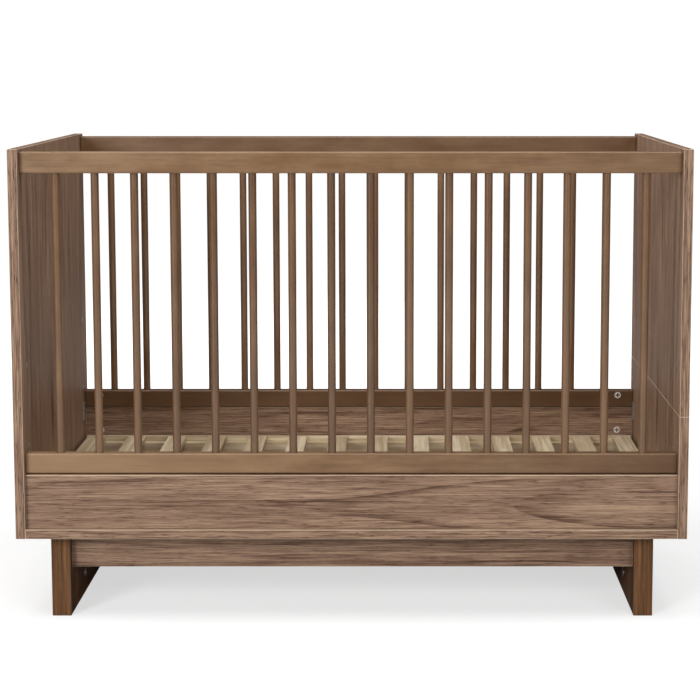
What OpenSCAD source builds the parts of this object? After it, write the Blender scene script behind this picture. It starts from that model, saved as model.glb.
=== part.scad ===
// Baby crib for a 600 x 1200 mm mattress: a board carcass on a slab plinth, two spindle
// sides, and a slatted mattress base that bolts to the end panels at three heights.
// Millimetres. +X runs along the crib, the front faces -Y, +Z is up, and the origin is on
// the floor under the middle of the crib.

/* [Carcass] */
// Clear length between the end panels
inner_length = 1220; // [1205:5:1260]
// Depth of the end panels, front to back
panel_depth = 692; // [690:2:720]
// Height of the end panels' top edges above the floor
total_height = 892; // [860:1:1000]
// Height of the carcass underside above the floor
carcass_z = 163; // [140:1:200]
// Thickness of the laminated boards
board = 18; // [18:0.5:19]
// Height of the front and back lower panels
lower_panel_h = 102; // [90:1:120]
// How far the lower panels stand back from the end panels' edges
lower_panel_setback = 10; // [4:1:10]
// Height above the carcass underside at which the right end panel divides
seam_rise = 232; // [225:1:260]

/* [Spindle sides] */
// Thickness of the solid rails, front to back
rail_t = 22; // [20:1:22]
// Height of the top rails
top_rail_h = 40; // [36:1:50]
// Height of the bottom rails
bottom_rail_h = 38; // [36:1:46]
// How far the rails stand back from the end panels' edges
rail_setback = 14; // [10:1:14]
// Drop of the top rails below the end panels' tops
top_rail_drop = 5; // [0:1:12]
// Open line between a lower panel and the rail above it
rail_line = 2; // [0.5:0.5:3]
// Radius on the rails' long edges
rail_ease = 3.5; // [1:0.5:5]
// Diameter of the spindles
spindle_d = 15; // [12:0.5:15]
// Number of spindles on each side
spindle_count = 16; // [14:1:16]
// Depth of the spindle sockets in the rails
socket_depth = 15.5; // [10:0.5:18]

/* [Plinth] */
// Distance from an end panel's outer face to the leg's outer face
leg_inset = 56; // [40:1:80]
// Distance from the end panels' edges to the legs' edges
leg_setback = 50; // [30:1:70]
// Height of the aprons between the legs
apron_h = 72; // [60:1:80]
// How far the aprons stand back from the legs' edges
apron_setback = 18; // [10:1:30]
// Distance from the legs' edges to the leg bolts
leg_bolt_setback = 152; // [100:1:180]
// Diameter of the leg bolts' heads
leg_bolt_head_d = 18; // [14:1:20]

/* [Mattress base] */
// Gap between the base rails' ends and the end panels
base_end_gap = 4; // [4:0.5:8]
// Thickness of the base rails, front to back
base_rail_t = 22; // [20:1:22]
// Height of the base rails
base_rail_h = 40; // [36:1:45]
// Gap between the base rails and the bottom rails
base_side_gap = 3; // [2:0.5:4]
// Number of slats
slat_count = 14; // [10:1:16]
// Width of a slat
slat_w = 40; // [30:1:50]
// Thickness of a slat
slat_t = 12; // [10:0.5:14]
// Gap between the end slats and the end panels
slat_end_gap = 7; // [7:0.5:10]
// Width of the ledge that carries the slats' ends
ledge_w = 12; // [10:0.5:13]
// Rise from the lowest to the middle height of the base
middle_rise = 136; // [120:1:150]
// Rise from the lowest to the top height of the base
top_rise = 288; // [260:1:300]

/* [Fittings] */
// Diameter of the cam locks
cam_d = 15; // [12:1:15]
// Distance from a board's end to the middle of its cam lock
cam_setback = 34; // [24:1:34]
// Diameter of the wooden dowels
dowel_d = 8; // [6:1:8]
// Length of the wooden dowels
dowel_l = 30; // [26:1:32]
// Height of the corner plates
plate_h = 39; // [30:1:42]
// Width of the corner plates, front to back
plate_w = 20; // [16:1:22]

/* [Hidden] */
$fn = 48;
side_names = ["front", "back"];
spindle_numbers = [for (i = [1 : spindle_count]) str(i < 10 ? "0" : "", i)];

// Carcass planes
inner_x = inner_length / 2;
panel_x = inner_x + board / 2;
edge_y = panel_depth / 2;
board_top_z = carcass_z + board;
seam_z = carcass_z + seam_rise;
lower_panel_y = edge_y - lower_panel_setback - board / 2;
lower_panel_top_z = board_top_z + lower_panel_h;

// Rails and spindles
rail_y = edge_y - rail_setback - rail_t / 2;
rail_inner_y = rail_y - rail_t / 2;
bottom_rail_z = lower_panel_top_z + rail_line;
bottom_rail_top_z = bottom_rail_z + bottom_rail_h;
top_rail_top_z = total_height - top_rail_drop;
top_rail_z = top_rail_top_z - top_rail_h;
spindle_gap = (inner_length - spindle_count * spindle_d) / (spindle_count + 1);
spindle_pitch = spindle_gap + spindle_d;
spindle_embed = socket_depth - 0.5;
spindle_l = top_rail_z - bottom_rail_top_z + 2 * spindle_embed;
socket_d = spindle_d + 0.1;

// Plinth
leg_outer_x = inner_x + board - leg_inset;
leg_inner_x = leg_outer_x - 2 * board;
leg_y = edge_y - leg_setback;
apron_y = leg_y - apron_setback - board / 2;
apron_z = carcass_z - apron_h;
leg_bolt_z = [42, 126]; // above the floor
leg_bolt_head_t = 2.5;
leg_bolt_socket_d = 8;

// Mattress base, at its lowest height
base_rest_gap = 1;
base_z = board_top_z + base_rest_gap;
base_top_z = base_z + base_rail_h;
base_rail_x = inner_x - base_end_gap;
base_rail_y = rail_inner_y - base_side_gap - base_rail_t / 2;
base_rail_inner_y = base_rail_y - base_rail_t / 2;
slat_first_x = -inner_x + slat_end_gap + slat_w / 2;
slat_pitch = (inner_length - 2 * slat_end_gap - slat_w) / (slat_count - 1);
slat_fit = 0.3;
slat_l = 2 * (base_rail_inner_y + ledge_w - slat_fit);
slat_x = [for (i = [0 : slat_count - 1]) slat_first_x + i * slat_pitch];
base_bolt_rise = 14;
base_bolt_z = base_z + base_bolt_rise;
base_bolt_d = 6;
base_bolt_l = 60;
base_bolt_head = [10, 6];
base_bolt_back = 1.5;
base_bolt_fit = 0.6;
base_bolt_socket = [5.8, 3];
bolt_pocket_setback = 58;
bolt_pocket_x = base_rail_x - bolt_pocket_setback;
bolt_pocket_l = 24;
bolt_pocket_w = 16;
bolt_pocket_rise = 8;

// Inserts that take the base bolts at the middle and the top height
insert_z = [base_bolt_z + middle_rise, base_bolt_z + top_rise];
insert_d = 10;
insert_l = 13;

// Cam fittings: the bolt lies cam_axis_depth under the face that the cam is let into
cam_axis_depth = 9;
cam_t = 12.5;
cam_sink = 0.2;
cam_bolt_d = 6;
cam_bolt_bore_d = 7.8;
cam_bolt_head = [7.2, 3];
cam_thread_d = 7;
cam_thread_l = 11;
bore_fit = 0.2;
bore_over = 0.5;
dowel_in_panel = 11;
cam_cross = [8, 1.6, 2];

// Wood screws
screw_d = 3.5;
screw_head_d = 7;
screw_head_t = 3;
screw_rim_t = 0.4;
screw_point_l = 4;
slat_screw_l = 24;
plinth_screw_l = 50;
plinth_screw_y = [-220, 0, 220];
corner_plate_t = 3;
corner_plate_gap = 5;
corner_plate_y = rail_inner_y - corner_plate_gap - plate_w / 2;
corner_plate_drop = 3.5;
corner_plate_z = lower_panel_top_z - corner_plate_drop;
corner_screw_l = 15;

walnut = "#8b6f5c";
dark_walnut = "#64452b";
stained_wood = "#8f7154";
slat_wood = "#b7a283";
steel = "#b9bbbd";
zinc = "#c9cbcc";
beech = "#d2b48a";

// A cam fitting is [end, plane, y, z, turn]: end is the -1 or +1 end of the crib, plane the
// distance of the meeting face from the middle, y and z the bolt's axis, and turn the angle
// about X that swings the cam's mouth from straight down to the face that it is let into.
function inward_turn(y) = y < 0 ? 90 : -90;
bottom_rail_cam_rise = 27;
bottom_rail_cams = [for (e = [-1, 1], s = [-1, 1])
    [e, inner_x, s * (rail_inner_y + cam_axis_depth), bottom_rail_z + bottom_rail_cam_rise,
     inward_turn(s)]];
lower_panel_cams = [for (e = [-1, 1], s = [-1, 1])
    [e, inner_x, s * (lower_panel_y - board / 2 + cam_axis_depth),
     board_top_z + lower_panel_h / 2, inward_turn(s)]];
top_rail_cams = [for (e = [-1, 1], s = [-1, 1])
    [e, inner_x, s * rail_y, top_rail_z + cam_axis_depth, 0]];
bottom_board_cam_y = [-200, 0, 200];
bottom_board_cams = [for (e = [-1, 1], y = bottom_board_cam_y)
    [e, inner_x, y, carcass_z + cam_axis_depth, 0]];
apron_cams = [for (e = [-1, 1], s = [-1, 1])
    [e, leg_inner_x, s * (apron_y - board / 2 + cam_axis_depth),
     apron_z + apron_h / 2, inward_turn(s)]];
all_cams = concat(bottom_rail_cams, lower_panel_cams, top_rail_cams, bottom_board_cams,
                  apron_cams);

// A dowel is [end, plane, y, z] and lies along X across the meeting face.
bottom_rail_dowel_rise = 10;
top_rail_dowel_drop = 12;
panel_dowel_inset = 20;
apron_dowel_inset = 14;
bottom_board_dowel_y = [-290, -100, 100, 290];
bottom_rail_dowels = [for (e = [-1, 1], s = [-1, 1])
    [e, inner_x, s * rail_y, bottom_rail_z + bottom_rail_dowel_rise]];
lower_panel_dowels = [for (e = [-1, 1], s = [-1, 1],
                           z = [panel_dowel_inset, lower_panel_h - panel_dowel_inset])
    [e, inner_x, s * lower_panel_y, board_top_z + z]];
top_rail_dowels = [for (e = [-1, 1], s = [-1, 1])
    [e, inner_x, s * rail_y, top_rail_top_z - top_rail_dowel_drop]];
bottom_board_dowels = [for (e = [-1, 1], y = bottom_board_dowel_y)
    [e, inner_x, y, carcass_z + board / 2]];
apron_dowels = [for (e = [-1, 1], s = [-1, 1],
                     z = [apron_dowel_inset, apron_h - apron_dowel_inset])
    [e, leg_inner_x, s * apron_y, apron_z + z]];
all_dowels = concat(bottom_rail_dowels, lower_panel_dowels, top_rail_dowels,
                    bottom_board_dowels, apron_dowels);
seam_dowel_y = [-300, -100, 100, 300];

// A box from its lowest to its highest corner
module slab(low, high) {
    translate(low) cube(high - low);
}

// A bar along X, centred on [0, y] with its underside at z, with eased long edges
module eased_bar(half_l, y, z, size, r) {
    translate([-half_l, y, z + size[1] / 2])
        rotate([90, 0, 90])
            linear_extrude(2 * half_l) {
                square([size[0] - 2 * r, size[1]], center = true);
                square([size[0], size[1] - 2 * r], center = true);
                for (a = [-1, 1], b = [-1, 1])
                    translate([a * (size[0] / 2 - r), b * (size[1] / 2 - r)]) circle(r);
            }
}

// A rod along X from x0 to x1
module rod_x(x0, x1, d) {
    translate([x0, 0, 0]) rotate([0, 90, 0]) cylinder(h = x1 - x0, d = d);
}

// A countersunk wood screw whose head lies in z = 0 and whose point is straight down
module wood_screw(length) {
    rotate([180, 0, 0]) rotate_extrude()
        polygon([[0, 0], [screw_head_d / 2, 0], [screw_head_d / 2, screw_rim_t],
                 [screw_d / 2, screw_head_t], [screw_d / 2, length - screw_point_l], [0, length]]);
}

// The room that a wood screw takes
module screw_hole(length) {
    translate([0, 0, -length - bore_over])
        cylinder(h = length + bore_over + 1, d = screw_d + bore_fit);
    translate([0, 0, -screw_head_t])
        cylinder(h = screw_head_t + 1, d = screw_head_d + bore_fit);
}

// Places its children at a fitting, with X pointing out of the board's end
module at_fitting(f) {
    translate([f[0] * f[1], f[2], f[3]]) mirror([f[0] < 0 ? 1 : 0, 0, 0]) children();
}

// What a cam fitting takes out of the board that holds the cam
module cam_board_bores(fittings) {
    for (f = fittings) at_fitting(f) {
        rod_x(-cam_setback, 1, cam_bolt_bore_d);
        rotate([f[4], 0, 0]) translate([-cam_setback, 0, -cam_axis_depth - 1])
            cylinder(h = cam_t + 1 + bore_over, d = cam_d + bore_fit);
    }
}

// What a cam fitting takes out of the board that it pulls against
module cam_panel_bores(fittings) {
    for (f = fittings) at_fitting(f)
        rod_x(-1, cam_thread_l + bore_over, cam_thread_d + bore_fit);
}

// What dowels take out of the boards on both sides of the meeting face
module dowel_bores(dowels) {
    for (f = dowels) at_fitting(f)
        rod_x(dowel_in_panel - dowel_l - bore_over, dowel_in_panel + bore_over,
              dowel_d + bore_fit);
}

// What the height inserts take out of the end panel on side e
module insert_bores(e) {
    for (s = [-1, 1], z = insert_z)
        at_fitting([e, inner_x, s * base_rail_y, z])
            rod_x(-1, insert_l + bore_fit, insert_d + bore_fit / 2);
}

// What the corner plates' screws take out of the end panel on side e
module corner_screw_bores(e) {
    for (s = [-1, 1]) at_fitting([e, inner_x, s * corner_plate_y, corner_plate_z])
        rod_x(-1, corner_screw_l, screw_d + bore_fit);
}

// Everything drilled into the inner face of the end panel on side e
module end_panel_bores(e) {
    cam_panel_bores([for (f = all_cams) if (f[0] == e && f[1] == inner_x) f]);
    dowel_bores([for (f = all_dowels) if (f[0] == e && f[1] == inner_x) f]);
    insert_bores(e);
    corner_screw_bores(e);
}

module end_panel_left() {
    color(walnut) difference() {
        slab([-inner_x - board, -edge_y, carcass_z], [-inner_x, edge_y, total_height]);
        end_panel_bores(-1);
    }
}

// One part of the divided right end panel, with the seam's dowel holes
module right_panel_part(z0, z1) {
    color(walnut) difference() {
        slab([inner_x, -edge_y, z0], [inner_x + board, edge_y, z1]);
        end_panel_bores(1);
        for (y = seam_dowel_y) translate([panel_x, y, seam_z - dowel_l / 2 - bore_over])
            cylinder(h = dowel_l + 2 * bore_over, d = dowel_d + bore_fit);
    }
}

module bottom_board() {
    color(walnut) difference() {
        slab([-inner_x, -edge_y, carcass_z], [inner_x, edge_y, board_top_z]);
        cam_board_bores(bottom_board_cams);
        dowel_bores(bottom_board_dowels);
        at_plinth_screws() screw_hole(plinth_screw_l);
    }
}

// s is -1 for the front and +1 for the back
module lower_panel(s) {
    color(walnut) difference() {
        slab([-inner_x, s * lower_panel_y - board / 2, board_top_z],
             [inner_x, s * lower_panel_y + board / 2, lower_panel_top_z]);
        cam_board_bores([for (f = lower_panel_cams) if (f[2] * s > 0) f]);
        dowel_bores([for (f = lower_panel_dowels) if (f[2] * s > 0) f]);
    }
}

// The middle of each spindle along X
function spindle_x(i) = (i - (spindle_count - 1) / 2) * spindle_pitch;

// A rail with its spindle sockets running from socket_z upwards
module spindle_rail(s, z, h, socket_z, cams, dowels) {
    color(stained_wood) difference() {
        eased_bar(inner_x, s * rail_y, z, [rail_t, h], rail_ease);
        for (i = [0 : spindle_count - 1])
            translate([spindle_x(i), s * rail_y, socket_z])
                cylinder(h = socket_depth + 1, d = socket_d);
        cam_board_bores([for (f = cams) if (f[2] * s > 0) f]);
        dowel_bores([for (f = dowels) if (f[2] * s > 0) f]);
    }
}

module bottom_rail(s) {
    spindle_rail(s, bottom_rail_z, bottom_rail_h, bottom_rail_top_z - socket_depth,
                 bottom_rail_cams, bottom_rail_dowels);
}

module top_rail(s) {
    spindle_rail(s, top_rail_z, top_rail_h, top_rail_z - 1, top_rail_cams, top_rail_dowels);
}

module spindle(s, i) {
    color(stained_wood)
        translate([spindle_x(i), s * rail_y, bottom_rail_top_z - spindle_embed])
            cylinder(h = spindle_l, d = spindle_d);
}

function leg_name(e, n) = str("leg_", e < 0 ? "left" : "right", n == 0 ? "_inner" : "_outer");

// One board of a leg: e is the end of the crib, n is 0 for the inner board and 1 for the outer
module leg_board(e, n) {
    x0 = leg_inner_x + n * board;
    color(dark_walnut) difference() {
        slab([min(e * x0, e * (x0 + board)), -leg_y, 0],
             [max(e * x0, e * (x0 + board)), leg_y, carcass_z]);
        cam_panel_bores([for (f = apron_cams) if (f[0] == e) f]);
        dowel_bores([for (f = apron_dowels) if (f[0] == e) f]);
        at_leg_bolts(e) rod_x(-1, 2 * board + 1, leg_bolt_socket_d + bore_fit);
        at_plinth_screws() screw_hole(plinth_screw_l);
    }
}

module apron(s) {
    color(walnut) difference() {
        slab([-leg_inner_x, s * apron_y - board / 2, apron_z],
             [leg_inner_x, s * apron_y + board / 2, carcass_z]);
        cam_board_bores([for (f = apron_cams) if (f[2] * s > 0) f]);
        dowel_bores([for (f = apron_dowels) if (f[2] * s > 0) f]);
    }
}

// Places its children at the leg bolts of end e, with X pointing outwards
module at_leg_bolts(e) {
    for (s = [-1, 1], z = leg_bolt_z)
        at_fitting([e, leg_inner_x, s * (leg_y - leg_bolt_setback), z]) children();
}

// Places its children on the bottom board's top over each leg board
module at_plinth_screws() {
    for (e = [-1, 1], n = [0, 1], y = plinth_screw_y)
        translate([e * (leg_inner_x + board / 2 + n * board), y, board_top_z]) children();
}

// Places its children at the bolts in the ends of the base rails on side s
module at_base_bolts(s) {
    for (e = [-1, 1]) at_fitting([e, base_rail_x, s * base_rail_y, base_bolt_z]) children();
}

// A base rail: a ledge along its inside carries the slats' ends, and each end has a bolt
// bore with a pocket, open below, where the key turns the bolt's head
module base_rail(s) {
    inner_y = s * base_rail_inner_y;
    ledge_y = s * (base_rail_inner_y + ledge_w);
    color(slat_wood) difference() {
        slab([-base_rail_x, s * base_rail_y - base_rail_t / 2, base_z],
             [base_rail_x, s * base_rail_y + base_rail_t / 2, base_top_z]);
        slab([-base_rail_x - 1, min(inner_y - s, ledge_y), base_top_z - slat_t],
             [base_rail_x + 1, max(inner_y - s, ledge_y), base_top_z + 1]);
        at_base_bolts(s) rod_x(-bolt_pocket_setback, 1, base_bolt_d + base_bolt_fit);
        for (e = [-1, 1])
            translate([e * bolt_pocket_x, s * base_rail_y, base_bolt_z])
                slab([-bolt_pocket_l / 2, -bolt_pocket_w / 2, -base_bolt_rise - 1],
                     [bolt_pocket_l / 2, bolt_pocket_w / 2, bolt_pocket_rise]);
        at_slat_screws(s) screw_hole(slat_screw_l);
    }
}

// Places its children at the slats' screws over the ledge on side s
module at_slat_screws(s) {
    for (x = slat_x)
        translate([x, s * (base_rail_inner_y + ledge_w / 2), base_top_z]) children();
}

module slats() {
    color(slat_wood) difference() {
        for (x = slat_x)
            slab([x - slat_w / 2, -slat_l / 2, base_top_z - slat_t],
                 [x + slat_w / 2, slat_l / 2, base_top_z]);
        for (s = [-1, 1]) at_slat_screws(s) screw_hole(slat_screw_l);
    }
}

module slat_screws() {
    color(steel) for (s = [-1, 1]) at_slat_screws(s) wood_screw(slat_screw_l);
}

// Captive bolts, drawn back so that the base is free to move
module base_bolts() {
    color(steel) for (s = [-1, 1]) at_base_bolts(s)
        translate([-base_bolt_back, 0, 0]) {
            rod_x(-base_bolt_l, 0, base_bolt_d);
            difference() {
                rod_x(-base_bolt_l - base_bolt_head[1], -base_bolt_l, base_bolt_head[0]);
                translate([-base_bolt_l - base_bolt_head[1] - 1, 0, 0]) rotate([0, 90, 0])
                    cylinder(h = base_bolt_socket[1] + 1, d = base_bolt_socket[0], $fn = 6);
            }
        }
}

module cam_locks() {
    color(zinc) for (f = all_cams) at_fitting(f) rotate([f[4], 0, 0])
        translate([-cam_setback, 0, cam_sink - cam_axis_depth]) difference() {
            cylinder(h = cam_t, d = cam_d);
            translate([0, 0, cam_axis_depth - cam_sink]) rod_x(-4, cam_d, cam_bolt_bore_d);
            for (a = [0, 90]) rotate(a) translate([-cam_cross[0] / 2, -cam_cross[1] / 2, -1])
                cube([cam_cross[0], cam_cross[1], cam_cross[2] + 1]);
        }
}

module cam_bolts() {
    color(steel) for (f = all_cams) at_fitting(f) {
        rod_x(1 - cam_setback, 0, cam_bolt_d);
        rod_x(-1 - cam_setback, cam_bolt_head[1] - cam_setback, cam_bolt_head[0]);
        rod_x(0, cam_thread_l, cam_thread_d);
    }
}

module dowel_pins() {
    color(beech) {
        for (f = all_dowels) at_fitting(f)
            rod_x(dowel_in_panel - dowel_l, dowel_in_panel, dowel_d);
        for (y = seam_dowel_y) translate([panel_x, y, seam_z - dowel_l / 2])
            cylinder(h = dowel_l, d = dowel_d);
    }
}

module threaded_inserts() {
    color(steel) for (e = [-1, 1], s = [-1, 1], z = insert_z)
        at_fitting([e, inner_x, s * base_rail_y, z]) difference() {
            rod_x(0, insert_l, insert_d);
            rod_x(-1, insert_l - 1, base_bolt_d);
        }
}

// Flat plates with one countersunk screw each
module corner_plates() {
    color(steel) for (e = [-1, 1], s = [-1, 1])
        at_fitting([e, inner_x, s * corner_plate_y, corner_plate_z]) {
            difference() {
                slab([-corner_plate_t, -plate_w / 2, -plate_h / 2],
                     [0, plate_w / 2, plate_h / 2]);
                rotate([0, -90, 0]) translate([0, 0, corner_plate_t])
                    screw_hole(corner_screw_l);
            }
            rotate([0, -90, 0]) translate([0, 0, corner_plate_t]) wood_screw(corner_screw_l);
        }
}

// Two-part connector bolts that clamp the two boards of each leg between flat round heads
module leg_bolts() {
    color(steel) for (e = [-1, 1]) at_leg_bolts(e) {
        rod_x(-leg_bolt_head_t, 0, leg_bolt_head_d);
        rod_x(0, 2 * board, leg_bolt_socket_d);
        rod_x(2 * board, 2 * board + leg_bolt_head_t, leg_bolt_head_d);
    }
}

module plinth_screws() {
    color(steel) at_plinth_screws() wood_screw(plinth_screw_l);
}

end_panel_left();
right_panel_part(carcass_z, seam_z);  // end_panel_right_lower
right_panel_part(seam_z, total_height);  // end_panel_right_upper
bottom_board();
for (s = [-1, 1]) {
    side = s < 0 ? "front" : "back";
    lower_panel(s);
    bottom_rail(s);
    top_rail(s);
    apron(s);
    base_rail(s);
    for (i = [0 : spindle_count - 1])
        spindle(s, i);
}
for (e = [-1, 1], n = [0, 1])
    leg_board(e, n);
slats();
slat_screws();
base_bolts();
cam_locks();
cam_bolts();
dowel_pins();
threaded_inserts();
corner_plates();
leg_bolts();
plinth_screws();
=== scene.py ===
"""Baby crib in walnut laminate and stained beech: the visible model, built round the CAD frame.

Lengths are in metres in the frame's own axes: +X along the crib, the front facing -Y, +Z up,
the origin on the floor.
"""

import logging
import math
from dataclasses import KW_ONLY, dataclass, replace
from enum import Enum

import bpy
import numpy as np
from mathutils import Matrix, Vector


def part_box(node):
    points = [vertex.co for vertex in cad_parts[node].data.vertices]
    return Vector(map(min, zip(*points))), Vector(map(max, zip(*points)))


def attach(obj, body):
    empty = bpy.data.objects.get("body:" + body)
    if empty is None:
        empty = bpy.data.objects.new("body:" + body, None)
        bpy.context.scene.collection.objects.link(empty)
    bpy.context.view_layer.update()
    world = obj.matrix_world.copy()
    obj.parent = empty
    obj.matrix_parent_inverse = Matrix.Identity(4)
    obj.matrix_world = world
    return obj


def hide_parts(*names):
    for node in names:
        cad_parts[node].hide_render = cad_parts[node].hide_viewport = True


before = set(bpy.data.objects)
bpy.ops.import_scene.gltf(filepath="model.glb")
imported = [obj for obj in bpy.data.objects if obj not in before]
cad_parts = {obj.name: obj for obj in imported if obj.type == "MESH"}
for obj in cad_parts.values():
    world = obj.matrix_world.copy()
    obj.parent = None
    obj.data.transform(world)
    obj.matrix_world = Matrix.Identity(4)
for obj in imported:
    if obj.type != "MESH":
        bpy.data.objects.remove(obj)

Array = np.ndarray
Point = tuple[float, float, float]
Socket = bpy.types.NodeSocket
Tree = bpy.types.ShaderNodeTree
Run = list[tuple[float, float]]
Layer = tuple[Socket, float, float, float, str]
Pattern = tuple[Socket, Socket, Socket]
Axes = tuple[Socket, Socket, Socket]
Box = tuple[Array, Array]

log = logging.getLogger("crib")

MM = 0.001
WELD = 1e-6
SAME_PLACE = 1e-5
# how fast the edge mask rises on an eased edge: partly edge wear, partly painted highlight
WEAR_AND_HIGHLIGHT_RISE = 6
SQUARE_ON = 0.9
SHARP_EDGE = math.radians(40)
NO_AREA = 1e-12
NUDGE = 1e-9
RIGHT = np.array([1.0, 0, 0])
UP = np.array([0.0, 0, 1])
ROOT_BODY = "crib_frame"
BASE_BODY = "mattress_base"
SIDES = ("front", "back")
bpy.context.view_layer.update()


# ---------------------------------------------------------------- surfaces


@dataclass
class Surface:
    """Quads over shared points, with a normal at each quad's corner.

    The edge mask is 0 on a flat face and 1 on an eased edge, where the finishes lay a paler
    colour that is partly edge wear and partly a painted highlight; tone shifts the finish lighter
    or darker; both belong to the points and become attributes that the finishes read.
    """

    points: Array
    quads: Array
    normals: Array
    wear_and_highlight: Array
    tone: Array

    @staticmethod
    def grid(points: Array, normals: Array, wear_and_highlight: Array, wrap: bool = False) -> "Surface":
        """Quads between the rows and columns of a grid of points.

        Args:
            points: Places, in an array of rows x columns x 3.
            normals: Outward normals in the same shape.
            wear_and_highlight: Edge mask, rows x columns: edge wear and a painted highlight on
                eased edges.
            wrap: Whether the last column joins the first.

        Returns:
            The surface, wound so that its faces point along the normals.
        """
        rows, columns = points.shape[:2]
        index = np.arange(rows * columns).reshape(rows, columns)
        ring = np.hstack([index, index[:, :1]]) if wrap else index
        quads = np.stack([ring[:-1, :-1], ring[:-1, 1:], ring[1:, 1:], ring[1:, :-1]], axis=-1)
        quads = quads.reshape(-1, 4)
        flat, spread = points.reshape(-1, 3), normals.reshape(-1, 3)
        corners = flat[quads]
        facing = np.cross(corners[:, 2] - corners[:, 0], corners[:, 3] - corners[:, 1])
        backward = (facing * spread[quads].mean(axis=1)).sum(axis=1) < 0
        quads[backward] = quads[backward][:, ::-1]
        return Surface(flat, quads, spread[quads], wear_and_highlight.reshape(-1), np.zeros(len(flat)))

    @staticmethod
    def join(surfaces: "list[Surface]") -> "Surface":
        """One surface from several, each keeping its own points.

        Args:
            surfaces: The surfaces, in order.

        Returns:
            The joined surface.
        """
        starts = np.cumsum([0] + [len(s.points) for s in surfaces[:-1]])
        return Surface(
            np.vstack([s.points for s in surfaces]),
            np.vstack([s.quads + start for s, start in zip(surfaces, starts)]),
            np.vstack([s.normals for s in surfaces]),
            np.concatenate([s.wear_and_highlight for s in surfaces]),
            np.concatenate([s.tone for s in surfaces]),
        )

    def toned(self, tone: "float | Array") -> "Surface":
        """The same surface with its tone set to one value, or to a value for each point."""
        return Surface(self.points, self.quads, self.normals, self.wear_and_highlight, self.tone * 0 + tone)

    def welded(self) -> "Surface":
        """The same surface with points in the same micrometre cell joined.

        Returns:
            The welded surface.
        """
        cells = np.round(self.points / WELD).astype(np.int64)
        _, first, owner = np.unique(cells, axis=0, return_index=True, return_inverse=True)
        return Surface(self.points[first], owner.reshape(-1)[self.quads], self.normals,
                       self.wear_and_highlight[first], self.tone[first])

    def to_mesh(self, name: str, keep_normals: bool = True) -> bpy.types.Mesh:
        """Puts the welded surface into a mesh in whole arrays.

        A quad whose corners met at a pole loses the repeated corner and becomes a triangle.

        Args:
            name: The mesh's name.
            keep_normals: Whether the corners' own normals shade the mesh.

        Returns:
            The mesh, with two attributes: the edge mask of wear and painted highlight, and tone.
        """
        solid = self.welded()
        kept = solid.quads != np.roll(solid.quads, 1, axis=1)
        whole = kept.sum(axis=1) >= 3
        kept, quads, normals = kept[whole], solid.quads[whole], solid.normals[whole]
        counts = kept.sum(axis=1)
        corners = quads[kept]
        mesh = bpy.data.meshes.new(name)
        mesh.vertices.add(len(solid.points))
        mesh.vertices.foreach_set("co", solid.points.astype(np.float32).ravel())
        mesh.loops.add(len(corners))
        mesh.loops.foreach_set("vertex_index", corners.astype(np.int32))
        mesh.polygons.add(len(counts))
        mesh.polygons.foreach_set("loop_start", np.r_[0, np.cumsum(counts)[:-1]].astype(np.int32))
        mesh.update(calc_edges=True)
        # edge mask: edge wear and a painted highlight on eased edges
        for label, values in (("edge_wear_and_highlight", solid.wear_and_highlight), ("tone", solid.tone)):
            mesh.attributes.new(label, "FLOAT", "POINT").data.foreach_set(
                "value", values.astype(np.float32))
        mesh.shade_smooth()
        if keep_normals:
            mesh.normals_split_custom_set(normals[kept].astype(np.float32))
        return mesh


def eased_box(low: Array, high: Array, radius: float, steps: int = 3) -> Surface:
    """A box with all its edges and corners rounded.

    A point q on the plain box is first drawn to the nearest point c of a core box that is
    smaller by the radius, and then set at c plus the radius along the direction from c to q.
    The grid lines near an edge are spaced by the tangent of equal angles, so that they come
    out as equal steps of arc.

    Args:
        low: Lowest corner.
        high: Highest corner.
        radius: Radius of the edges.
        steps: Steps of arc from a face to the middle of an edge.

    Returns:
        The closed surface, its edge mask of wear and painted highlight rising to 1 along the
        edges.
    """
    centre, half = (low + high) / 2, (high - low) / 2
    core = half - radius
    arc = radius * np.tan(np.linspace(0, math.pi / 4, steps + 1))
    lines = [np.concatenate([-(c + arc[::-1]), c + arc]) for c in core]
    sheets = []
    for axis in range(3):
        across, up = (axis + 1) % 3, (axis + 2) % 3
        for side in (-1, 1):
            plain = np.empty((len(lines[across]), len(lines[up]), 3))
            plain[..., across] = lines[across][:, None]
            plain[..., up] = lines[up][None, :]
            plain[..., axis] = side * half[axis]
            inner = np.clip(plain, -core, core)
            normals = plain - inner
            normals /= np.linalg.norm(normals, axis=-1, keepdims=True)
            # edge mask for the finishes: partly edge wear, partly a painted highlight on eased
            # edges
            wear_and_highlight = np.clip((1 - np.abs(normals).max(axis=-1)) * WEAR_AND_HIGHLIGHT_RISE, 0, 1)
            sheets.append(Surface.grid(inner + radius * normals + centre, normals, wear_and_highlight))
    return Surface.join(sheets)


def axis_frame(axis: Array) -> Array:
    """Unit vectors for turning about an axis: the cross products of the axis with a helper.

    Args:
        axis: The axis, of any length.

    Returns:
        Three rows: two vectors across the axis, and then the axis itself.
    """
    axis = axis / np.linalg.norm(axis)
    helper = UP if abs(axis[2]) < SQUARE_ON else RIGHT
    across = np.cross(helper, axis)
    across /= np.linalg.norm(across)
    return np.stack([across, np.cross(axis, across), axis])


def straight(*points: tuple[float, float]) -> list[Run]:
    """Straight runs of a profile, from each point to the next, with sharp edges between them.

    Args:
        points: Height and radius of each point.

    Returns:
        The runs.
    """
    return [list(pair) for pair in zip(points, points[1:])]


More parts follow.
